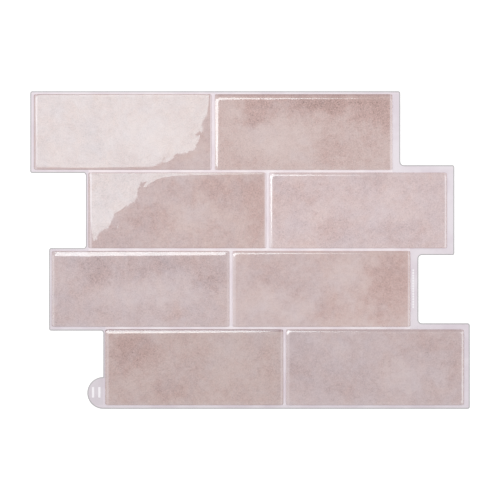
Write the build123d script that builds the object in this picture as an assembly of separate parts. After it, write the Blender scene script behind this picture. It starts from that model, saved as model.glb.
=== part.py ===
from build123d import *
import math
import os

# Self-adhesive backsplash panel, in millimetres: four rows of two raised gel tiles on one
# printed film, over a release liner. Each row is shifted along X, so the ends of the panel
# step in and out and key into the next panel. X runs along the rows, Y runs up the wall and
# +Z points out of the wall. The origin is the middle of the underside.

# Layout of the tiles
tile_length = 118.7
tile_height = 50.45
joint_width = 1.9
row_shifts = (0.0, 36.4, 11.9, 47.7)  # how far each row's middle joint stands right of row 1's

# Film outside the tiles
left_margins = (2.6, 1.9, 1.9, 1.5)
right_margins = (5.4, 5.1, 5.6, 4.1)  # these wider ends lie under the next panel
top_margin = 2.1
bottom_margin = 2.7
left_lips = (1.3, 1.1, 1.9)  # how far a row that sticks out passes the line of the joint
right_lips = (4.1, 3.8, 3.2)
outer_corner_radius = 1.5
left_inner_corner_radius = 1.6
right_inner_corner_radius = 2.3
tab_radius = 10.7

# Thicknesses
liner_thickness = 0.15
film_thickness = 0.30
tile_thickness = 1.30

# Section of a tile: a steep foot, a shoulder of a quarter ellipse and a faintly crowned face
foot_rise = 0.30
crown_rise = 0.12
shoulder_width = 3.0
crown_width = 12.0
foot_corner_radius = 1.2
face_corner_radius = 2.8
shoulder_steps = 6
crown_steps = 3

film_base = liner_thickness
tile_base = film_base + film_thickness
row_pitch = tile_height + joint_width
row_names = ("row1", "row2", "row3", "row4")
side_signs = {"left": -1, "right": 1}

# Places before the origin is moved: X from row 1's middle joint, Y from the top of row 1
half_row = joint_width / 2 + tile_length
left_ends = [shift - half_row - margin for shift, margin in zip(row_shifts, left_margins)]
right_ends = [shift + half_row + margin for shift, margin in zip(row_shifts, right_margins)]
panel_top = top_margin
panel_bottom = -len(row_shifts) * row_pitch + joint_width - bottom_margin
panel_centre = Vector(
    (min(left_ends) + max(right_ends)) / 2,
    (panel_top + panel_bottom) / 2,
)


def joint_line(row):
    """Height of the middle of the joint under a row."""
    return -(row + 1) * row_pitch + joint_width / 2


def stepped_end(ends, lips, outward, inner_radius):
    """Corners of one end of the panel from the top down, each as (point, radius)."""
    corners = [((ends[0], panel_top), outer_corner_radius)]
    for row, lip in enumerate(lips):
        upper_sticks_out = outward * ends[row] > outward * ends[row + 1]
        if upper_sticks_out:
            level = joint_line(row) - lip
            radii = (outer_corner_radius, inner_radius)
        else:
            level = joint_line(row) + lip
            radii = (inner_radius, outer_corner_radius)
        corners.append(((ends[row], level), radii[0]))
        corners.append(((ends[row + 1], level), radii[1]))
    corners.append(((ends[-1], panel_bottom), outer_corner_radius))
    return corners


def panel_outline():
    """Outline of film and liner, with the half-round peel tab at the lower left corner."""
    left = stepped_end(left_ends, left_lips, -1, left_inner_corner_radius)
    right = stepped_end(right_ends, right_lips, 1, right_inner_corner_radius)
    tab_foot = left.pop()[0]
    tab_head = (tab_foot[0], tab_foot[1] + 2 * tab_radius)
    tab_tip = (tab_foot[0] - tab_radius, tab_foot[1] + tab_radius)
    corners = left[::-1] + right
    points = [tab_head] + [point for point, _ in corners] + [tab_foot]
    steps = FilletPolyline(*points, radius=[radius for _, radius in corners])
    tab = ThreePointArc(tab_foot, tab_tip, tab_head)
    return Pos(-panel_centre) * make_face(steps.edges() + tab.edges())


def release_liner(outline):
    return extrude(outline, amount=liner_thickness)


def carrier_film(outline):
    return extrude(Pos(0, 0, film_base) * outline, amount=film_thickness)


def tile_section(inset, height):
    """One level section of a tile. Its corners widen with the inset, up to the face's."""
    share = min(inset / shoulder_width, 1)
    corner = foot_corner_radius + share * (face_corner_radius - foot_corner_radius)
    section = RectangleRounded(tile_length - 2 * inset, tile_height - 2 * inset, corner)
    return Pos(0, 0, height) * section


def gel_tile():
    """One tile standing on z = 0, as the gel sets: drawn in at the rim, all but level above."""
    shoulder_rise = tile_thickness - foot_rise - crown_rise
    crown_foot = foot_rise + shoulder_rise
    sections = [tile_section(0, 0)]
    for step in range(shoulder_steps + 1):
        angle = math.radians(90 * step / shoulder_steps)
        inset = shoulder_width * (1 - math.cos(angle))
        sections.append(tile_section(inset, foot_rise + shoulder_rise * math.sin(angle)))
    for step in range(1, crown_steps + 1):
        share = step / crown_steps
        inset = shoulder_width + crown_width * share
        sections.append(tile_section(inset, crown_foot + crown_rise * (1 - (1 - share) ** 2)))
    return loft(sections, ruled=True)


os.makedirs("parts", exist_ok=True)

outline = panel_outline()
export_step(release_liner(outline), "parts/release_liner.step")
export_step(carrier_film(outline), "parts/carrier_film.step")

tile = gel_tile()
for row, (row_name, shift) in enumerate(zip(row_names, row_shifts)):
    for side, sign in side_signs.items():
        x = shift + sign * (tile_length + joint_width) / 2
        y = -row * row_pitch - tile_height / 2
        place = Pos(x - panel_centre.X, y - panel_centre.Y, tile_base)
        export_step(place * tile, f"parts/tile_{row_name}_{side}.step")
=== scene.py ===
import math

import bmesh
import bpy
from mathutils import Matrix, Vector, noise


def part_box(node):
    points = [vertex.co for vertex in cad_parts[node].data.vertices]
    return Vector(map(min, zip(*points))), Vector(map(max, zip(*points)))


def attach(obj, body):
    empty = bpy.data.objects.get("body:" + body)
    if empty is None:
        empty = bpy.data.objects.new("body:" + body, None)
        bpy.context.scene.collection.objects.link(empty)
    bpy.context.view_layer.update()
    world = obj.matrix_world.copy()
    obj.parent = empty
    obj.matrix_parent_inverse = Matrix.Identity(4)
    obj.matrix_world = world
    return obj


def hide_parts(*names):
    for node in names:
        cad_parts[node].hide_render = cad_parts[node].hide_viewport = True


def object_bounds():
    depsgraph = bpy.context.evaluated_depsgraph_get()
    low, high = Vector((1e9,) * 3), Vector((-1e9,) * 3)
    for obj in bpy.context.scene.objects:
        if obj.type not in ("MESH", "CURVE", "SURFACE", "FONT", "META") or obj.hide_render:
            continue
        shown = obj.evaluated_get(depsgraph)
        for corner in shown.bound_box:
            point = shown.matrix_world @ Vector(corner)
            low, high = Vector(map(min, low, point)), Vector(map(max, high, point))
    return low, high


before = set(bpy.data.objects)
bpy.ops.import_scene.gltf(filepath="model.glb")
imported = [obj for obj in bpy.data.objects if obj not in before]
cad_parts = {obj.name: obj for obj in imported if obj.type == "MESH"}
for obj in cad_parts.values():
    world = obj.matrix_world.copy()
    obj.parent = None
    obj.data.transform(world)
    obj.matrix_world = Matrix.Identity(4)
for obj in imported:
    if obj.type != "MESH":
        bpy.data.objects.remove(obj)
cad_low, cad_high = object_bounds()

# The panel lies on the floor, face up: X runs along the tile rows, Y up the wall, Z out of it.
MM = 0.001
TOLERANCE = 0.001 * MM
PANEL_TOP = cad_high.z
FILM_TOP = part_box("carrier_film")[1].z

# Section of a gel tile: an upright foot, a steep edge, a bevel along each side, and the face
FOOT_RISE = 0.30 * MM
FOOT_CORNER_RADIUS = 1.2 * MM
FACE_CORNER_RADIUS = 2.2 * MM
EDGE_SHARE = 0.22  # outer part of a bevel, over which the edge climbs
CROWN_ROOM = 0.08 * MM  # height kept free for the crowns

# Grid of a gel tile
BEVEL_STEPS = 22
FACE_STEP = 0.7 * MM
FACE_SQUARING = 10 * MM  # how far into the face its rounded rings have turned square

# Unevenness of the set gel: waves as (length, rise), and the rim in which they fade out
WAVES = (
    (26 * MM, 0.012 * MM),
    (9 * MM, 0.016 * MM),
    (4.5 * MM, 0.006 * MM),
    (2.2 * MM, 0.003 * MM),
)
WAVE_RIM = 7 * MM
WAVE_LEVEL = 3.7  # where their noise is cut

# Film: the strip at its cut edge, how far that rolls down, and how pale or grey its parts are:
# painted light on the top and left margins, pale print with painted glow in the joints
FILM_RIM = 0.85 * MM
FILM_ROLL = 0.12 * MM
NARROW_MARGIN = 1.5 * MM
TOP_MARGIN_PAINTED_LIGHT = 0.3
LEFT_MARGIN_PAINTED_GLOW = 0.8
UPRIGHT_JOINT_PRINT_AND_GLOW = 0.6
TAB_GREYNESS = 0.2
PRINT_LIFT = 0.015 * MM

# Plain white print on the film, as (x, y, length, width, turn) in millimetres and degrees:
# two bars on the peel tab, and a row of dashes on the right margin
TAB_MARKS = [(-104.8, -95.0, 7.0, 1.5, 90), (-100.6, -95.0, 7.0, 1.5, 90)]
MARGIN_MARKS = [(109.0, -13.6 - 1.75 * step, 1.3, 1.1, 90) for step in range(15)]

# Mottle of the print under the gel: sizes of its parts, in millimetres
CLOUD_SIZE = 34
BLOTCH_SIZE = 9
MOTTLE_SIZE = 3.2
DRIFT_SIZE = 15  # of the change between warm and cool colours
FINE_SIZE = 0.7
SPECK_SIZE = 1.2
WARP_SIZE = 9
WARP_REACH = 22.0  # how far noise can push the outline of a patch
DRIFT_PLACE = (37.0, 81.0, 5.0)  # shifts that make one noise unlike the next
SPECK_PLACE = (5.0, 9.0, 31.0)

# Colours of the print from pale to dark, as (place, screen values from 0 to 255)
WARM_GLAZE = (
    (0.0, (229, 209, 206)),
    (0.35, (218, 194, 190)),
    (0.6, (206, 175, 170)),
    (0.82, (190, 157, 151)),
    (1.0, (168, 134, 128)),
)
COOL_GLAZE = (
    (0.0, (222, 209, 212)),
    (0.35, (210, 192, 195)),
    (0.6, (196, 176, 178)),
    (0.82, (180, 158, 158)),
    (1.0, (158, 136, 132)),
)

# Painted light at a tile's sides, in millimetres from a side: where a painted reflection line
# starts, is full, starts to fade and ends, and where the painted shade along the top is full and
# ends
LEFT_PAINTED_REFLECTION = (0.5, 1.1, 1.8, 2.7)
RIGHT_PAINTED_REFLECTION = (0.4, 1.0, 1.3, 1.9)
PAINTED_TOP_SHADE = (0.9, 2.0)
# Pale strips at the feet of a tile's left and right sides: how soft their edge is, and how pale
PALE_FOOT_SOFTNESS = 0.1
PALE_FOOT_STRENGTH = 0.8
# Colours of the painted shade along the top, and of the pale feet and painted reflection lines
PAINTED_SHADE_COLOUR = (150, 118, 122)
PALE_FOOT_AND_REFLECTION_COLOUR = (240, 226, 230)

# Gloss of the gel
RIPPLE_SIZE = 4.5
RIPPLE_RISE = 0.006 * MM
GEL_ROUGHNESS = (0.22, 0.02)  # at the foot and on the face
RIM_GLOSS_ROUGHNESS = 0.07
GEL_MIRROR_TINT = (0.80, 0.98, 1.0, 1.0)

# Studio
WORLD_FILL = 0.53
FLOOR_SIZE = 6.0
FLOOR_GLOW = (0.45, 0.62)  # near the panel, and far from it
FLOOR_GLOW_REACH = (0.8, 2.5)
SOFTBOX_HEIGHT = 1.0
CAMERA_HEIGHT = 1.2525
MIRROR_GROWTH = 1 + SOFTBOX_HEIGHT / CAMERA_HEIGHT  # of a softbox over its mirror image

# Softboxes as mirrored in the panel's face, in millimetres: middle of the near edge, depth,
# length, radiance and the way that faces away from the panel
SOFTBOXES = {
    "key_softbox": ((-43.1, 76.1), 180, 200, 5.6, (-0.758, 0.652)),
    "key_side_panel": ((53.7, 188.7), 180, 93, 5.0, (-0.758, 0.652)),
    "left_softbox": ((-270.0, -32.0), 330, 296, 1.8, (-1.0, 0.0)),
    "right_softbox": ((240.0, 0.0), 360, 400, 1.8, (1.0, 0.0)),
}

# Each tile, in millimetres from its own middle:
# - allowance: how far its face is held down to leave room for its swells
# - swells: slow rises of its face, as (x, y, reach, rise)
# - bevels: how wide its left, right, lower and upper bevels are
# - slopes: how steep they are, in the same order
# - rounding: how far either side of a bevel's inner line it bends into the face, in X and in Y
# - crown: how much its face rises from the bevels, and over what distance
# - painted_light: how strong its painted reflection lines near the left and right are, and how
#   dark its painted top shade
# - pale_foot: how wide the pale strips at the feet of its left and right sides are
# - rim_gloss: share of a second gloss on its bevels
# - tone: how light its print is as a whole
# - warmth: of its print, at its left and right ends
# - grain: how strong its fine specks are
# - patches: soft darker (below zero, lighter) patches, as (x, y, half width, half height, amount)
TILES = {
    "tile_row1_left": {
        "allowance": 0.15,
        "swells": ((58, -14, 15, 0.09), (60, 8, 18, 0.08), (30, 0, 20, -0.09)),
        "bevels": (1.2, 1.2, 1.2, 0.9),
        "slopes": (0.14, 0.16, 0.12, 0.17),
        "rounding": (1.0, 0.7),
        "crown": (0.03, 6.0),
        "painted_light": (0.45, 0.0, 0.12),
        "pale_foot": (0.0, 0.9),
        "rim_gloss": 0.3,
        "tone": 0.96,
        "warmth": (0.6, 0.75),
        "grain": 1.0,
        "patches": (
            (-28, 8, 26, 14, 0.04),
            (16, -4, 26, 16, -0.12),
            (50, -18, 14, 14, -0.08),
        ),
    },
    "tile_row1_right": {
        "allowance": 0.11,
        "swells": ((-57, 25, 18, 0.08),),
        "bevels": (1.3, 1.2, 1.2, 2.7),
        "slopes": (0.2, 0.2, 0.12, 0.29),
        "rounding": (1.3, 1.0),
        "crown": (0.03, 6.0),
        "painted_light": (0.2, 0.5, 0.35),
        "pale_foot": (0.5, 0.2),
        "rim_gloss": 0.8,
        "tone": 0.955,
        "warmth": (1.0, 1.05),
        "grain": 1.45,
        "patches": (
            (12, 22, 56, 10, 0.20),
            (-30, 13, 10, 11, 0.26),
            (12, 18, 22, 9, 0.24),
            (48, 14, 15, 14, 0.30),
            (17, -12, 14, 9, 0.14),
            (-16, -7, 32, 13, -0.26),
            (-46, 12, 7, 10, -0.14),
        ),
    },
    "tile_row2_left": {
        "allowance": 0.03,
        "swells": (),
        "bevels": (0.5, 1.2, 1.2, 0.9),
        "slopes": (0.14, 0.2, 0.12, 0.17),
        "rounding": (1.0, 0.7),
        "crown": (0.08, 1.8),
        "painted_light": (0.55, 0.2, 0.0),
        "pale_foot": (0.0, 0.9),
        "rim_gloss": 0.0,
        "tone": 0.97,
        "warmth": (0.55, 0.95),
        "grain": 1.1,
        "patches": (
            (32, 14, 24, 12, 0.21),
            (54, -2, 10, 26, 0.19),
            (-20, -6, 16, 12, 0.16),
            (0, 16, 6, 5, 0.11),
            (10, -2, 16, 12, -0.18),
            (-50, -20, 14, 8, 0.11),
            (-46, 14, 18, 14, 0.11),
        ),
    },
    "tile_row2_right": {
        "allowance": 0.03,
        "swells": (),
        "bevels": (1.7, 1.2, 1.2, 2.0),
        "slopes": (0.2, 0.2, 0.12, 0.22),
        "rounding": (1.4, 0.8),
        "crown": (0.03, 6.0),
        "painted_light": (0.4, 0.4, 0.08),
        "pale_foot": (1.0, 0.0),
        "rim_gloss": 0.8,
        "tone": 1.085,
        "warmth": (0.47, 0.39),
        "grain": 1.25,
        "patches": (
            (-38, 12, 22, 12, 0.13),
            (-18, -12, 16, 9, 0.14),
            (12, 18, 18, 10, 0.05),
            (30, -16, 14, 10, 0.08),
            (24, 4, 26, 12, -0.10),
            (-28, -2, 14, 8, -0.08),
        ),
    },
    "tile_row3_left": {
        "allowance": 0.11,
        "swells": ((-50, 27, 26, 0.06),),
        "bevels": (1.6, 1.2, 1.2, 2.8),
        "slopes": (0.17, 0.2, 0.12, 0.16),
        "rounding": (1.0, 0.7),
        "crown": (0.03, 6.0),
        "painted_light": (0.15, 0.2, 0.1),
        "pale_foot": (0.0, 0.2),
        "rim_gloss": 0.8,
        "tone": 0.975,
        "warmth": (0.3, 0.42),
        "grain": 1.3,
        "patches": (
            (-30, 14, 13, 12, 0.29),
            (14, 18, 24, 8, 0.24),
            (47, 10, 13, 14, 0.24),
            (2, -3, 32, 11, -0.20),
            (-50, 10, 6, 12, -0.09),
            (18, -13, 14, 9, 0.10),
        ),
    },
    "tile_row3_right": {
        "allowance": 0.03,
        "swells": (),
        "bevels": (1.2, 1.2, 1.2, 1.8),
        "slopes": (0.14, 0.2, 0.12, 0.32),
        "rounding": (1.3, 0.8),
        "crown": (0.03, 6.0),
        "painted_light": (0.3, 0.4, 0.08),
        "pale_foot": (0.6, 0.0),
        "rim_gloss": 0.7,
        "tone": 0.985,
        "warmth": (0.6, 0.95),
        "grain": 0.9,
        "patches": (
            (46, 6, 18, 26, 0.23),
            (-34, 10, 10, 8, 0.14),
            (-16, 4, 10, 8, 0.13),
            (6, -14, 12, 8, 0.11),
            (-40, -10, 16, 12, -0.18),
            (14, 8, 18, 12, -0.14),
            (-18, -16, 14, 9, -0.13),
        ),
    },
    "tile_row4_left": {
        "allowance": 0.03,
        "swells": (),
        "bevels": (1.2, 1.2, 1.2, 2.5),
        "slopes": (0.12, 0.2, 0.12, 0.17),
        "rounding": (1.0, 0.7),
        "crown": (0.03, 6.0),
        "painted_light": (0.3, 0.3, 0.85),
        "pale_foot": (0.0, 0.0),
        "rim_gloss": 1.0,
        "tone": 0.875,
        "warmth": (0.93, 0.8),
        "grain": 1.25,
        "patches": (
            (-40, 10, 20, 14, 0.26),
            (-20, -14, 16, 9, 0.17),
            (8, 4, 16, 10, 0.04),
            (26, 6, 22, 18, -0.09),
            (-46, -12, 12, 8, -0.09),
        ),
    },
    "tile_row4_right": {
        "allowance": 0.03,
        "swells": (),
        "bevels": (1.2, 1.2, 1.2, 2.0),
        "slopes": (0.14, 0.2, 0.12, 0.28),
        "rounding": (1.0, 0.7),
        "crown": (0.03, 6.0),
        "painted_light": (0.2, 0.3, 0.3),
        "pale_foot": (0.2, 0.0),
        "rim_gloss": 1.0,
        "tone": 0.955,
        "warmth": (0.35, 0.38),
        "grain": 1.05,
        "patches": (
            (-52, 2, 10, 22, 0.14),
            (-22, -10, 12, 10, 0.10),
            (36, 14, 18, 10, 0.16),
            (54, 0, 8, 24, 0.12),
            (16, -6, 14, 12, -0.18),
            (-22, 14, 12, 8, -0.08),
        ),
    },
}


# Node helpers

def linear(red, green, blue):
    """A colour given as 0 to 255 screen values, in the linear values that nodes take."""
    channels = []
    for value in (red, green, blue):
        share = value / 255
        low = share / 12.92
        high = ((share + 0.055) / 1.055) ** 2.4
        channels.append(low if share <= 0.04045 else high)
    return (*channels, 1.0)


def plug(tree, socket, value):
    """Gives an input socket a link or a plain value."""
    if isinstance(value, bpy.types.NodeSocket):
        tree.links.new(value, socket)
    else:
        socket.default_value = value


def add_node(tree, kind, properties=None, inputs=None):
    """Adds a node, sets its properties and plugs its inputs, both given by name."""
    node = tree.nodes.new(kind)
    for name, value in (properties or {}).items():
        setattr(node, name, value)
    for name, value in (inputs or {}).items():
        plug(tree, node.inputs[name], value)
    return node


def calculate(tree, operation, first, second=0.0, third=0.0, clamp=False):
    """Output of a math node."""
    node = add_node(tree, "ShaderNodeMath", {"operation": operation, "use_clamp": clamp})
    for socket, value in zip(node.inputs, (first, second, third)):
        plug(tree, socket, value)
    return node.outputs[0]


def vector_step(tree, operation, first, second=(0.0, 0.0, 0.0)):
    """Output of a vector math node: a vector, or a plain value where that is a length."""
    node = add_node(tree, "ShaderNodeVectorMath", {"operation": operation})
    plug(tree, node.inputs[0], first)
    plug(tree, node.inputs[1], second)
    return node.outputs[1 if operation == "LENGTH" else 0]


def blend_colours(tree, factor, first, second, mode="MIX"):
    node = add_node(tree, "ShaderNodeMix", {"data_type": "RGBA", "blend_type": mode})
    plug(tree, node.inputs[0], factor)
    plug(tree, node.inputs[6], first)
    plug(tree, node.inputs[7], second)
    return node.outputs[2]


def scale_vector(tree, vector, scale):
    node = add_node(tree, "ShaderNodeVectorMath", {"operation": "SCALE"})
    plug(tree, node.inputs[0], vector)
    plug(tree, node.inputs["Scale"], scale)
    return node.outputs[0]


def separate(tree, vector):
    """Outputs X, Y and Z of a vector."""
    return add_node(tree, "ShaderNodeSeparateXYZ", inputs={"Vector": vector}).outputs


def attribute_value(tree, name):
    return add_node(tree, "ShaderNodeAttribute", {"attribute_name": name}).outputs["Fac"]


def noise_value(tree, vector, size, detail=2.0, roughness=0.5, distortion=0.0):
    """Soft noise from 0 to 1, with parts of about the given size."""
    inputs = {
        "Vector": vector,
        "Scale": 1 / size,
        "Detail": detail,
        "Roughness": roughness,
        "Distortion": distortion,
    }
    return add_node(tree, "ShaderNodeTexNoise", inputs=inputs).outputs["Fac"]


def ease(tree, value, start, end, low=0.0, high=1.0):
    """Runs smoothly from low to high while the value goes from start to end."""
    properties = {"interpolation_type": "SMOOTHSTEP"}
    inputs = {"Value": value, "From Min": start, "From Max": end, "To Min": low, "To Max": high}
    return add_node(tree, "ShaderNodeMapRange", properties, inputs).outputs[0]


def band(tree, depth, start, full, fading, end):
    """1 in a band along a side and 0 outside it, with a soft start and end."""
    fade = ease(tree, depth, end, fading)
    return calculate(tree, "MULTIPLY", fade, ease(tree, depth, start, full))


def colour_ramp(tree, factor, stops):
    """A ramp through the given stops, each as (place, screen values)."""
    node = add_node(tree, "ShaderNodeValToRGB", inputs={"Fac": factor})
    ramp = node.color_ramp
    while len(ramp.elements) < len(stops):
        ramp.elements.new(0.5)
    for element, (place, colour) in zip(ramp.elements, stops):
        element.position = place
        element.color = linear(*colour)
    return node.outputs["Color"]


def new_group(name, inputs, outputs):
    """A node group with named sockets. Returns it with its input and output nodes."""
    group = bpy.data.node_groups.new(name, "ShaderNodeTree")
    for socket_name, kind, value in inputs:
        socket = group.interface.new_socket(socket_name, in_out="INPUT", socket_type=kind)
        socket.default_value = value
    for socket_name, kind in outputs:
        group.interface.new_socket(socket_name, in_out="OUTPUT", socket_type=kind)
    return group, group.nodes.new("NodeGroupInput"), group.nodes.new("NodeGroupOutput")


def use_group(tree, group, inputs):
    node = add_node(tree, "ShaderNodeGroup", {"node_tree": group}, inputs)
    return node.outputs


def new_material(name):
    material = bpy.data.materials.new(name)
    material.use_nodes = True
    tree = material.node_tree
    shader = tree.nodes["Principled BSDF"]
    return material, tree, shader


def millimetres(tree):
    """Object coordinates in millimetres."""
    coordinates = tree.nodes.new("ShaderNodeTexCoord")
    return scale_vector(tree, coordinates.outputs["Object"], 1 / MM)


def rough_normal(tree, strength, distance, height):
    """Normal of a surface that is uneven by the given height map."""
    inputs = {"Strength": strength, "Distance": distance, "Height": height}
    return add_node(tree, "ShaderNodeBump", inputs=inputs).outputs["Normal"]


# Shared effects

FLOAT = "NodeSocketFloat"
VECTOR = "NodeSocketVector"
COLOUR = "NodeSocketColor"


def make_patch_group():
    """One soft patch of print: full in its middle, gone at its edge."""
    group, entry, end = new_group(
        "print_patch",
        [
            ("Vector", VECTOR, (0, 0, 0)),
            ("Middle", VECTOR, (0, 0, 0)),
            ("Reach", VECTOR, (10, 10, 10)),
            ("Amount", FLOAT, 0.2),
            ("Before", FLOAT, 0.0),
        ],
        [("Darkness", FLOAT)],
    )
    offset = vector_step(group, "SUBTRACT", entry.outputs["Vector"], entry.outputs["Middle"])
    share = vector_step(group, "DIVIDE", offset, entry.outputs["Reach"])
    distance = vector_step(group, "LENGTH", share)
    body = ease(group, distance, 1.35, 0.25)
    added = calculate(group, "MULTIPLY", body, entry.outputs["Amount"])
    total = calculate(group, "ADD", entry.outputs["Before"], added)
    plug(group, end.inputs["Darkness"], total)
    return group


def make_glaze_group():
    """Mottled stone glaze as printed under the gel: clouds, blotches, grain and specks."""
    group, entry, end = new_group(
        "glaze_print",
        [
            ("Vector", VECTOR, (0, 0, 0)),
            ("Patches", FLOAT, 0.0),
            ("Tone", FLOAT, 1.0),
            ("Warmth", FLOAT, 0.5),
            ("Grain", FLOAT, 1.0),
        ],
        [("Colour", COLOUR)],
    )
    place = entry.outputs["Vector"]

    # How dark: clouds and patches, with blotches and mottle on top
    clouds = noise_value(group, place, CLOUD_SIZE, 3.0, 0.55, 0.3)
    blotches = noise_value(group, place, BLOTCH_SIZE, 3.0, 0.6, 0.4)
    mottle = noise_value(group, place, MOTTLE_SIZE, 2.0, 0.6)
    darkness = calculate(group, "MULTIPLY_ADD", clouds, 0.3, 0.27)
    darkness = calculate(group, "MULTIPLY_ADD", entry.outputs["Patches"], 0.75, darkness)
    blotches = calculate(group, "SUBTRACT", blotches, 0.5)
    darkness = calculate(group, "MULTIPLY_ADD", blotches, 0.28, darkness)
    mottle = calculate(group, "SUBTRACT", mottle, 0.5)
    darkness = calculate(group, "MULTIPLY_ADD", mottle, 0.36, darkness, clamp=True)

    # Colour, which drifts between warm and cool
    warm = colour_ramp(group, darkness, WARM_GLAZE)
    cool = colour_ramp(group, darkness, COOL_GLAZE)
    aside = vector_step(group, "ADD", place, DRIFT_PLACE)
    drift = noise_value(group, aside, DRIFT_SIZE, 3.0, 0.6, 0.5)
    drift = calculate(group, "SUBTRACT", drift, 0.5)
    warmth = calculate(group, "MULTIPLY_ADD", drift, 1.5, entry.outputs["Warmth"], clamp=True)
    colour = blend_colours(group, warmth, cool, warm)

    # Fine grain and dark specks, deeper where the print is dark
    fine = noise_value(group, place, FINE_SIZE, 2.0, 0.75)
    aside = vector_step(group, "ADD", place, SPECK_PLACE)
    speck = noise_value(group, aside, SPECK_SIZE, 1.0, 0.5)
    deep = calculate(group, "POWER", darkness, 2.5)
    depth = calculate(group, "MULTIPLY_ADD", deep, 1.15, 0.17)
    depth = calculate(group, "MULTIPLY", depth, entry.outputs["Grain"])
    grain = calculate(group, "MULTIPLY", calculate(group, "SUBTRACT", fine, 0.5), depth)
    dots = calculate(group, "MULTIPLY", ease(group, speck, 0.56, 0.7), depth)
    shade = calculate(group, "MULTIPLY_ADD", grain, 1.6, 1.0)
    shade = calculate(group, "MULTIPLY_ADD", dots, -0.21, shade)
    shade = calculate(group, "MULTIPLY", shade, entry.outputs["Tone"])
    plug(group, end.inputs["Colour"], scale_vector(group, colour, shade))
    return group


def make_rim_group():
    """Masks of a tile's painted reflection lines at its sides, its painted shade along the top,
    and the pale strips at its feet.
    """
    group, entry, end = new_group(
        "tile_rim",
        [
            ("Vector", VECTOR, (0, 0, 0)),
            ("Half Size", VECTOR, (59, 25, 1)),
            ("Pale Foot Left", FLOAT, 0.0),
            ("Pale Foot Right", FLOAT, 0.0),
        ],
        [("Left", FLOAT), ("Right", FLOAT), ("Top", FLOAT), ("Pale Foot", FLOAT)],
    )
    place = entry.outputs["Vector"]
    half_size = entry.outputs["Half Size"]
    from_low = separate(group, vector_step(group, "ADD", half_size, place))
    from_high = separate(group, vector_step(group, "SUBTRACT", half_size, place))
    past_left = calculate(group, "SUBTRACT", from_low["X"], entry.outputs["Pale Foot Left"])
    past_right = calculate(group, "SUBTRACT", from_high["X"], entry.outputs["Pale Foot Right"])
    past = calculate(group, "MINIMUM", past_left, past_right)
    full, gone = PAINTED_TOP_SHADE
    plug(group, end.inputs["Left"], band(group, from_low["X"], *LEFT_PAINTED_REFLECTION))
    plug(group, end.inputs["Right"], band(group, from_high["X"], *RIGHT_PAINTED_REFLECTION))
    plug(group, end.inputs["Top"], ease(group, from_high["Y"], gone, full))
    plug(group, end.inputs["Pale Foot"], ease(group, past, PALE_FOOT_SOFTNESS, -PALE_FOOT_SOFTNESS))
    return group


patch_group = make_patch_group()
glaze_group = make_glaze_group()
rim_group = make_rim_group()


# Finishes

def patch_darkness(tree, panel_place, place, patches):
    """Darkness of all of a tile's patches together, their outlines pushed about by noise."""
    inputs = {"Vector": panel_place, "Scale": 1 / WARP_SIZE, "Detail": 3.0}
    warp = add_node(tree, "ShaderNodeTexNoise", inputs=inputs)
    push = vector_step(tree, "SUBTRACT", warp.outputs["Color"], (0.5, 0.5, 0.5))
    push = vector_step(tree, "MULTIPLY", push, (WARP_REACH, WARP_REACH, 0.0))
    pushed = vector_step(tree, "ADD", place, push)
    pushed = vector_step(tree, "MULTIPLY", pushed, (1.0, 1.0, 0.0))
    darkness = 0.0
    for x, y, half_width, half_height, amount in patches:
        darkness = use_group(
            tree,
            patch_group,
            {
                "Vector": pushed,
                "Middle": (x, y, 0.0),
                "Reach": (half_width, half_height, 1.0),
                "Amount": amount,
                "Before": darkness,
            },
        )["Darkness"]
    return darkness


def gel_finish(node_name, facts, low, high):
    """Glossy clear gel over the mottled print of one tile."""
    material, tree, shader = new_material(node_name.replace("tile_", "gel_"))
    middle = (low + high) / 2
    half = (high - low) / 2
    panel_place = millimetres(tree)
    place = vector_step(tree, "SUBTRACT", panel_place, (middle.x / MM, middle.y / MM, 0.0))
    darkness = patch_darkness(tree, panel_place, place, facts["patches"])
    across = separate(tree, place)["X"]
    glaze = use_group(
        tree,
        glaze_group,
        {
            "Vector": panel_place,
            "Patches": darkness,
            "Tone": facts["tone"],
            "Warmth": ease(tree, across, -40.0, 50.0, *facts["warmth"]),
            "Grain": facts["grain"],
        },
    )
    pale_foot_left, pale_foot_right = facts["pale_foot"]
    rim = use_group(
        tree,
        rim_group,
        {
            "Vector": place,
            "Half Size": (half.x / MM, half.y / MM, 1.0),
            "Pale Foot Left": pale_foot_left,
            "Pale Foot Right": pale_foot_right,
        },
    )
    # Painted shade along the top, then painted reflection lines at the sides and the pale foot
    # strips, mixed into the print
    left_reflection, right_reflection, top_shade = facts["painted_light"]
    shade = calculate(tree, "MULTIPLY", rim["Top"], top_shade)
    colour = blend_colours(tree, shade, glaze["Colour"], linear(*PAINTED_SHADE_COLOUR))
    pale = calculate(tree, "MULTIPLY", rim["Pale Foot"], PALE_FOOT_STRENGTH)
    pale = calculate(tree, "MULTIPLY_ADD", rim["Left"], left_reflection, pale)
    pale = calculate(tree, "MULTIPLY_ADD", rim["Right"], right_reflection, pale, clamp=True)
    colour = blend_colours(tree, pale, colour, linear(*PALE_FOOT_AND_REFLECTION_COLOUR))
    plug(tree, shader.inputs["Base Color"], colour)
    ripple = noise_value(tree, panel_place, RIPPLE_SIZE)
    plug(tree, shader.inputs["Normal"], rough_normal(tree, 1.0, RIPPLE_RISE, ripple))
    climb = attribute_value(tree, "climb")
    coat = ease(tree, climb, 1.0, 0.96, 0.0, facts["rim_gloss"])
    plug(tree, shader.inputs["Coat Weight"], coat)
    shader.inputs["Coat Roughness"].default_value = RIM_GLOSS_ROUGHNESS
    plug(tree, shader.inputs["Roughness"], ease(tree, climb, 0.1, 0.5, *GEL_ROUGHNESS))
    shader.inputs["IOR"].default_value = 1.5
    shader.inputs["Specular Tint"].default_value = GEL_MIRROR_TINT
    return material


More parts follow.
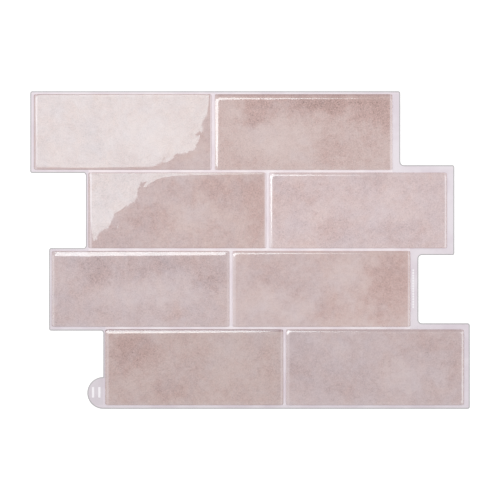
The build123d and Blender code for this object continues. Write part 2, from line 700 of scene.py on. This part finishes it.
def film_finish():
    """Satin printed vinyl, greyer at its cut edge: pale joint print with painted glow, painted
    light on margins, painted shade below.
    """
    material, tree, shader = new_material("satin_film")
    place = millimetres(tree)
    joint_print_and_glow = attribute_value(tree, "joint_print_and_glow")
    rim = attribute_value(tree, "rim")
    # Joint colour: pale print, with painted glow from the gel on top of it
    colour = blend_colours(tree, joint_print_and_glow, linear(236, 228, 234), linear(250, 242, 245))
    tint = noise_value(tree, place, 18, 3.0)
    tint = ease(tree, tint, 0.35, 0.65, 0.0, 0.35)
    colour = blend_colours(tree, tint, colour, linear(226, 214, 222), "MULTIPLY")
    # Painted shade: the film darkens towards its lower edge, where less light falls
    down = ease(tree, separate(tree, place)["Y"], 30.0, -95.0)
    colour = blend_colours(tree, down, colour, linear(248, 247, 248), "MULTIPLY")
    greyness = calculate(tree, "MULTIPLY", rim, 0.7)
    colour = blend_colours(tree, greyness, colour, linear(172, 173, 172))
    plug(tree, shader.inputs["Base Color"], colour)
    grain = noise_value(tree, place, 0.45, 3.0, 0.6)
    plug(tree, shader.inputs["Normal"], rough_normal(tree, 0.5, 0.02 * MM, grain))
    plug(tree, shader.inputs["Roughness"], ease(tree, grain, 0.3, 0.7, 0.42, 0.52))
    return material


def liner_finish():
    """Siliconed kraft paper: off-white, with short soft fibres."""
    material, tree, shader = new_material("release_paper")
    place = millimetres(tree)
    stretched = vector_step(tree, "MULTIPLY", place, (0.25, 1.0, 1.0))
    fibres = noise_value(tree, stretched, 1.1, 4.0, 0.6, 0.6)
    cloud = noise_value(tree, place, 14, 3.0)
    light = ease(tree, fibres, 0.35, 0.65)
    colour = blend_colours(tree, light, linear(236, 230, 219), linear(247, 244, 237))
    dull = ease(tree, cloud, 0.4, 0.7, 0.0, 0.25)
    colour = blend_colours(tree, dull, colour, linear(228, 221, 208))
    plug(tree, shader.inputs["Base Color"], colour)
    plug(tree, shader.inputs["Normal"], rough_normal(tree, 0.6, 0.03 * MM, fibres))
    plug(tree, shader.inputs["Roughness"], ease(tree, cloud, 0.3, 0.7, 0.45, 0.6))
    return material


def ink_finish():
    """White print on the film, a little thin in places."""
    material, tree, shader = new_material("white_ink")
    thin = noise_value(tree, millimetres(tree), 0.6, 3.0, 0.6)
    faded = ease(tree, thin, 0.45, 0.75, 0.0, 0.5)
    colour = blend_colours(tree, faded, linear(252, 248, 252), linear(236, 228, 234))
    plug(tree, shader.inputs["Base Color"], colour)
    plug(tree, shader.inputs["Roughness"], ease(tree, thin, 0.3, 0.7, 0.4, 0.55))
    return material


# Pieces

def finished_piece(name, bm, materials, smooth=True):
    """Turns a bmesh into an object in the scene that rides with the panel."""
    mesh = bpy.data.meshes.new(name)
    bm.to_mesh(mesh)
    bm.free()
    for material in materials:
        mesh.materials.append(material)
    for polygon in mesh.polygons:
        polygon.use_smooth = smooth
    piece = bpy.data.objects.new(name, mesh)
    bpy.context.scene.collection.objects.link(piece)
    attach(piece, "root")
    return piece


def in_metres(values):
    """Values given in millimetres, in the scene's own unit."""
    return [value * MM for value in values]


def climb_share(ring):
    """How far across its bevel a ring of the grid lies: 0 at the foot, 1 on the face."""
    return 1 - math.cos(math.radians(90 * min(ring / BEVEL_STEPS, 1)))


def grid_lines(half, low_width, high_width):
    """Places across a tile, close together at its sides and even over the face."""
    shares = [climb_share(ring) for ring in range(BEVEL_STEPS + 1)]
    face_start = -half + low_width
    face = 2 * half - low_width - high_width
    count = round(face / FACE_STEP)
    low = [-half + low_width * share for share in shares]
    middle = [face_start + face * step / count for step in range(1, count)]
    high = [half - high_width * share for share in reversed(shares)]
    return low + middle + high


def ring_place(column, row, lines_x, lines_y):
    """Place of a grid point on its own rounded ring, with that ring's climb share."""
    last_x = len(lines_x) - 1
    last_y = len(lines_y) - 1
    from_side = min(column, last_x - column)
    from_end = min(row, last_y - row)
    ring = min(from_side, from_end)
    sign_x = -1 if column < last_x / 2 else 1
    sign_y = -1 if row < last_y / 2 else 1
    corner_x = lines_x[ring] if sign_x < 0 else lines_x[last_x - ring]
    corner_y = lines_y[ring] if sign_y < 0 else lines_y[last_y - ring]
    x = lines_x[column]
    y = lines_y[row]
    share = climb_share(ring)
    radius = FOOT_CORNER_RADIUS + share * (FACE_CORNER_RADIUS - FOOT_CORNER_RADIUS)
    into_face = max(ring - BEVEL_STEPS, 0) * FACE_STEP
    radius *= max(1 - into_face / FACE_SQUARING, 0.0)
    along = max(abs(x - corner_x), abs(y - corner_y))
    if along >= radius:
        return x, y, share
    turn = math.radians(45) * (1 - along / radius)
    across, up = math.sin(turn), math.cos(turn)
    if from_side < from_end:
        across, up = up, across
    x = corner_x - sign_x * radius * (1 - across)
    y = corner_y - sign_y * radius * (1 - up)
    return x, y, share


def soft_bump(x, y, swell):
    """Height at one place of a smooth swell given as (x, y, reach, rise) in millimetres."""
    centre_x, centre_y, reach, rise = swell
    distance = math.hypot(x / MM - centre_x, y / MM - centre_y) / reach
    return rise * MM * math.exp(-distance ** 2)


def bevel_drop(x, y, half_x, half_y, facts):
    """How far the bevels drop at a place in a tile. Their corners are rounded."""
    left, right, lower, upper = in_metres(facts["bevels"])
    left_slope, right_slope, lower_slope, upper_slope = facts["slopes"]
    past_left = left - (half_x + x)
    past_right = right - (half_x - x)
    past_lower = lower - (half_y + y)
    past_upper = upper - (half_y - y)
    past_x, slope_x = max((past_left, left_slope), (past_right, right_slope))
    past_y, slope_y = max((past_lower, lower_slope), (past_upper, upper_slope))
    out_x = max(past_x + FACE_CORNER_RADIUS, 0.0)
    out_y = max(past_y + FACE_CORNER_RADIUS, 0.0)
    out = math.hypot(out_x, out_y)
    if out == 0:
        return 0.0
    past = out - FACE_CORNER_RADIUS
    share_x = (out_x / out) ** 2
    slope = share_x * slope_x + (1 - share_x) * slope_y
    rounding_x, rounding_y = in_metres(facts["rounding"])
    rounding = share_x * rounding_x + (1 - share_x) * rounding_y
    if past <= -rounding:
        return 0.0
    if past >= rounding:
        return slope * past
    return slope * (past + rounding) ** 2 / (4 * rounding)


def crown_height(x, y, half_x, half_y, facts):
    """Faint crown: the face goes on rising a little from the bevels towards its middle."""
    left, right, lower, upper = in_metres(facts["bevels"])
    into_x = max(min(x + half_x - left / 2, half_x - right / 2 - x), 0.0)
    into_y = max(min(y + half_y - lower / 2, half_y - upper / 2 - y), 0.0)
    rise, reach = in_metres(facts["crown"])
    crown_x = 1 - math.exp(-into_x / reach)
    crown_y = 1 - math.exp(-into_y / reach)
    return rise * crown_x * crown_y


def wave_height(x, y, half_x, half_y, middle):
    """Slow waves of the set gel, which fade out at the sides of the tile."""
    wave = 0.0
    for length, rise in WAVES:
        point = Vector(((middle.x + x) / length, (middle.y + y) / length, WAVE_LEVEL))
        wave += rise * noise.noise(point)
    inset = min(half_x - abs(x), half_y - abs(y))
    return wave * min(inset / WAVE_RIM, 1.0) ** 2


def gel_height(x, y, share, half_x, half_y, middle, facts):
    """Height of the gel above its foot: edge, bevels, swells, faint crown and slow waves."""
    drop = bevel_drop(x, y, half_x, half_y, facts)
    bevel_rise = MM * max(map(math.prod, zip(facts["bevels"], facts["slopes"])))
    swell = sum(soft_bump(x, y, swell) for swell in facts["swells"])
    edge_rise = PANEL_TOP - FILM_TOP - FOOT_RISE - CROWN_ROOM - bevel_rise
    edge_rise += swell - facts["allowance"] * MM
    edge = math.sqrt(1 - (1 - min(share / EDGE_SHARE, 1)) ** 2)
    height = FOOT_RISE + edge_rise * edge + bevel_rise - drop
    crown = crown_height(x, y, half_x, half_y, facts)
    wave = wave_height(x, y, half_x, half_y, middle)
    return height + crown + wave


def gel_tile(node_name, facts):
    """One gel tile: a graded grid bent over its bevels, with a foot wall and an underside."""
    low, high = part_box(node_name)
    middle = (low + high) / 2
    half_x = (high.x - low.x) / 2
    half_y = (high.y - low.y) / 2
    left, right, lower, upper = in_metres(facts["bevels"])
    rounding_x, rounding_y = in_metres(facts["rounding"])
    lines_x = grid_lines(half_x, left + rounding_x, right + rounding_x)
    lines_y = grid_lines(half_y, lower + rounding_y, upper + rounding_y)
    last_x = len(lines_x) - 1
    last_y = len(lines_y) - 1
    bm = bmesh.new()
    bmesh.ops.create_grid(bm, x_segments=last_x, y_segments=last_y, size=1.0)
    climb = bm.verts.layers.float.new("climb")
    for vertex in bm.verts:
        column = round((vertex.co.x + 1) / 2 * last_x)
        row = round((vertex.co.y + 1) / 2 * last_y)
        x, y, share = ring_place(column, row, lines_x, lines_y)
        height = gel_height(x, y, share, half_x, half_y, middle, facts)
        vertex.co = (middle.x + x, middle.y + y, low.z + height)
        vertex[climb] = share
    rim = [edge for edge in bm.edges if edge.is_boundary]
    wall = bmesh.ops.extrude_edge_only(bm, edges=rim)["geom"]
    foot_vertices = [item for item in wall if isinstance(item, bmesh.types.BMVert)]
    for vertex in foot_vertices:
        vertex.co.z = low.z
    foot_edges = [edge for edge in bm.edges if edge.is_boundary]
    bmesh.ops.contextual_create(bm, geom=foot_edges)
    bmesh.ops.recalc_face_normals(bm, faces=bm.faces)
    for edge in foot_edges:
        edge.smooth = False
    finish = gel_finish(node_name, facts, low, high)
    piece = finished_piece(node_name.replace("tile_", "gel_tile_"), bm, [finish])
    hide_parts(node_name)
    return piece


def film_mesh():
    """The film in its own outline, its upper edge rolled over. Also its level top and layers."""
    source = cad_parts["carrier_film"].data
    bm = bmesh.new()
    bm.from_mesh(source)
    rim_layer = bm.faces.layers.float.new("rim")
    joint_glow_layer = bm.faces.layers.float.new("joint_print_and_glow")
    bmesh.ops.remove_doubles(bm, verts=bm.verts, dist=TOLERANCE)
    bmesh.ops.dissolve_limit(bm, angle_limit=math.radians(1), verts=bm.verts, edges=bm.edges)
    level = max(face.calc_center_median().z for face in bm.faces)
    upper_faces = [face for face in bm.faces if face.calc_center_median().z > level - TOLERANCE]
    top = max(upper_faces, key=lambda face: face.calc_area())
    strip = bmesh.ops.inset_region(bm, faces=[top], thickness=FILM_RIM, use_even_offset=True)
    for face in strip["faces"]:
        face[rim_layer] = 1.0
    inner = set(top.verts)
    for vertex in {vertex for face in strip["faces"] for vertex in face.verts}:
        if vertex not in inner:
            vertex.co.z -= FILM_ROLL
    return bm, top, rim_layer, joint_glow_layer


def cut_top(bm, faces, point, normal):
    """Cuts level faces along one upright plane. Returns all level faces of the film's top."""
    edges = {edge for face in faces for edge in face.edges}
    vertices = {vertex for face in faces for vertex in face.verts}
    bmesh.ops.bisect_plane(
        bm,
        geom=[*faces, *edges, *vertices],
        dist=TOLERANCE,
        plane_co=point,
        plane_no=normal,
    )
    level = FILM_TOP - TOLERANCE
    return [face for face in bm.faces if min(vertex.co.z for vertex in face.verts) > level]


def faces_between(faces, low, high):
    """Those of the given faces whose middle lies between two heights up the wall."""
    return [face for face in faces if low < face.calc_center_median().y < high]


def carrier_film():
    """The printed film, marked where paleness is painted: joints (pale print with painted glow)
    and narrow margins (painted light).
    """
    bm, top, rim_layer, joint_glow_layer = film_mesh()
    level_faces = [top]
    boxes = {name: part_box(name) for name in TILES}
    rows = []
    for row in range(1, 5):
        left_low, left_high = boxes[f"tile_row{row}_left"]
        right_low, right_high = boxes[f"tile_row{row}_right"]
        rows.append((left_low, left_high, right_low, right_high))
    for _, left_high, _, _ in rows:
        level_faces = cut_top(bm, level_faces, (0, left_high.y, 0), (0, 1, 0))
    for left_low, _, _, _ in rows:
        level_faces = cut_top(bm, level_faces, (0, left_low.y, 0), (0, 1, 0))
    tab_line = rows[-1][0].x - NARROW_MARGIN
    for left_low, left_high, right_low, _ in rows:
        for x in (tab_line, left_high.x, right_low.x):
            band = faces_between(level_faces, left_low.y, left_high.y)
            level_faces = cut_top(bm, band, (x, 0, 0), (1, 0, 0))
    joints = []
    for upper, lower in zip(rows, rows[1:]):
        start = max(upper[0].x, lower[0].x)
        end = min(upper[3].x, lower[3].x)
        joints.append((start, end, lower[1].y, upper[0].y))
        for x in (start, end):
            band = faces_between(level_faces, lower[1].y, upper[0].y)
            level_faces = cut_top(bm, band, (x, 0, 0), (1, 0, 0))
    for face in level_faces:
        centre = face.calc_center_median()
        # Painted light on the top margin, painted glow on the left margins, pale print with
        # painted glow in the joints
        if centre.y > rows[0][1].y:
            face[joint_glow_layer] = TOP_MARGIN_PAINTED_LIGHT
        if centre.x < tab_line and rows[-1][0].y < centre.y < rows[-1][1].y:
            face[rim_layer] = TAB_GREYNESS
        for left_low, left_high, right_low, _ in rows:
            inside_row = left_low.y < centre.y < left_high.y
            if inside_row and left_high.x < centre.x < right_low.x:
                face[joint_glow_layer] = UPRIGHT_JOINT_PRINT_AND_GLOW
            elif inside_row and tab_line < centre.x < left_low.x:
                face[joint_glow_layer] = LEFT_MARGIN_PAINTED_GLOW
        for start, end, bottom, top in joints:
            if start < centre.x < end and bottom < centre.y < top:
                face[joint_glow_layer] = 1.0
    bmesh.ops.triangulate(bm, faces=[face for face in bm.faces if len(face.verts) > 4])
    piece = finished_piece("printed_film", bm, [film_finish()], smooth=False)
    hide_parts("carrier_film")
    return piece


def flat_bars(name, bars, ink):
    """Thin printed bars on the film, each as (x, y, length, width, turn) in millimetres."""
    bm = bmesh.new()
    for x, y, length, width, turn in bars:
        made = bmesh.ops.create_cube(bm, size=1.0)["verts"]
        bmesh.ops.scale(bm, vec=(length * MM, width * MM, PRINT_LIFT), verts=made)
        turned = Matrix.Rotation(math.radians(turn), 3, "Z")
        bmesh.ops.rotate(bm, verts=made, cent=(0, 0, 0), matrix=turned)
        place = (x * MM, y * MM, FILM_TOP + PRINT_LIFT / 2)
        bmesh.ops.translate(bm, verts=made, vec=place)
    return finished_piece(name, bm, [ink], smooth=False)


# Stage, light and camera

def seen_directly(tree, strength):
    """Strength for rays from the camera and for what gloss and glass mirror, else nothing."""
    path = tree.nodes.new("ShaderNodeLightPath")
    seen = calculate(tree, "MAXIMUM", path.outputs["Is Camera Ray"], path.outputs["Is Glossy Ray"])
    seen = calculate(tree, "MAXIMUM", seen, path.outputs["Is Transmission Ray"])
    return calculate(tree, "MULTIPLY", seen, strength)


def floor_stage():
    """Plain pale floor. It looks white to the camera and still takes the panel's shadow."""
    bm = bmesh.new()
    bmesh.ops.create_grid(bm, x_segments=1, y_segments=1, size=FLOOR_SIZE)
    mesh = bpy.data.meshes.new("floor")
    bm.to_mesh(mesh)
    bm.free()
    floor = bpy.data.objects.new("floor", mesh)
    bpy.context.scene.collection.objects.link(floor)
    material, tree, shader = new_material("pale_floor")
    shader.inputs["Base Color"].default_value = (0.86, 0.86, 0.86, 1)
    shader.inputs["Roughness"].default_value = 0.9
    shader.inputs["Specular IOR Level"].default_value = 0.0
    shader.inputs["Emission Color"].default_value = (1, 1, 1, 1)
    place = tree.nodes.new("ShaderNodeTexCoord").outputs["Object"]
    distance = vector_step(tree, "LENGTH", place)
    glow = ease(tree, distance, *FLOOR_GLOW_REACH, *FLOOR_GLOW)
    plug(tree, shader.inputs["Emission Strength"], seen_directly(tree, glow))
    mesh.materials.append(material)
    return floor


def studio_world():
    """White surroundings: full white where they are seen or mirrored, dimmer as a light."""
    world = bpy.data.worlds.new("studio")
    world.use_nodes = True
    tree = world.node_tree
    background = tree.nodes["Background"]
    background.inputs["Color"].default_value = (1, 1, 1, 1)
    seen = seen_directly(tree, 1.0 - WORLD_FILL)
    plug(tree, background.inputs["Strength"], calculate(tree, "ADD", seen, WORLD_FILL))
    bpy.context.scene.world = world


def softbox(name, near, depth, length, radiance, outward):
    """A level softbox that sits where its mirror image is wanted in the panel's face."""
    outward = Vector(outward).normalized()
    centre = (Vector(near) * MM + outward * depth * MM / 2) * MIRROR_GROWTH
    data = bpy.data.lights.new(name, "AREA")
    data.shape = "RECTANGLE"
    data.size = depth * MM * MIRROR_GROWTH
    data.size_y = length * MM * MIRROR_GROWTH
    data.energy = radiance * math.pi * data.size * data.size_y
    lamp = bpy.data.objects.new(name, data)
    lamp.location = (centre.x, centre.y, SOFTBOX_HEIGHT)
    lamp.rotation_euler = (0, 0, math.atan2(outward.y, outward.x))
    lamp.visible_camera = False
    bpy.context.scene.collection.objects.link(lamp)


def overhead_camera():
    data = bpy.data.cameras.new("overhead")
    data.lens = 135
    data.sensor_width = 36
    data.clip_end = 50
    camera = bpy.data.objects.new("overhead", data)
    camera.location = (0, 0, CAMERA_HEIGHT)
    bpy.context.scene.collection.objects.link(camera)
    bpy.context.scene.camera = camera


overhead_camera()
studio_world()
for softbox_name, softbox_facts in SOFTBOXES.items():
    softbox(softbox_name, *softbox_facts)
floor_stage()
carrier_film()
for tile_name, tile_facts in TILES.items():
    gel_tile(tile_name, tile_facts)

white_ink = ink_finish()
flat_bars("peel_tab_print", TAB_MARKS, white_ink)
flat_bars("margin_print", MARGIN_MARKS, white_ink)

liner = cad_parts["release_liner"]
liner.material_slots[0].material = liner_finish()

bpy.context.scene.view_settings.view_transform = "Standard"
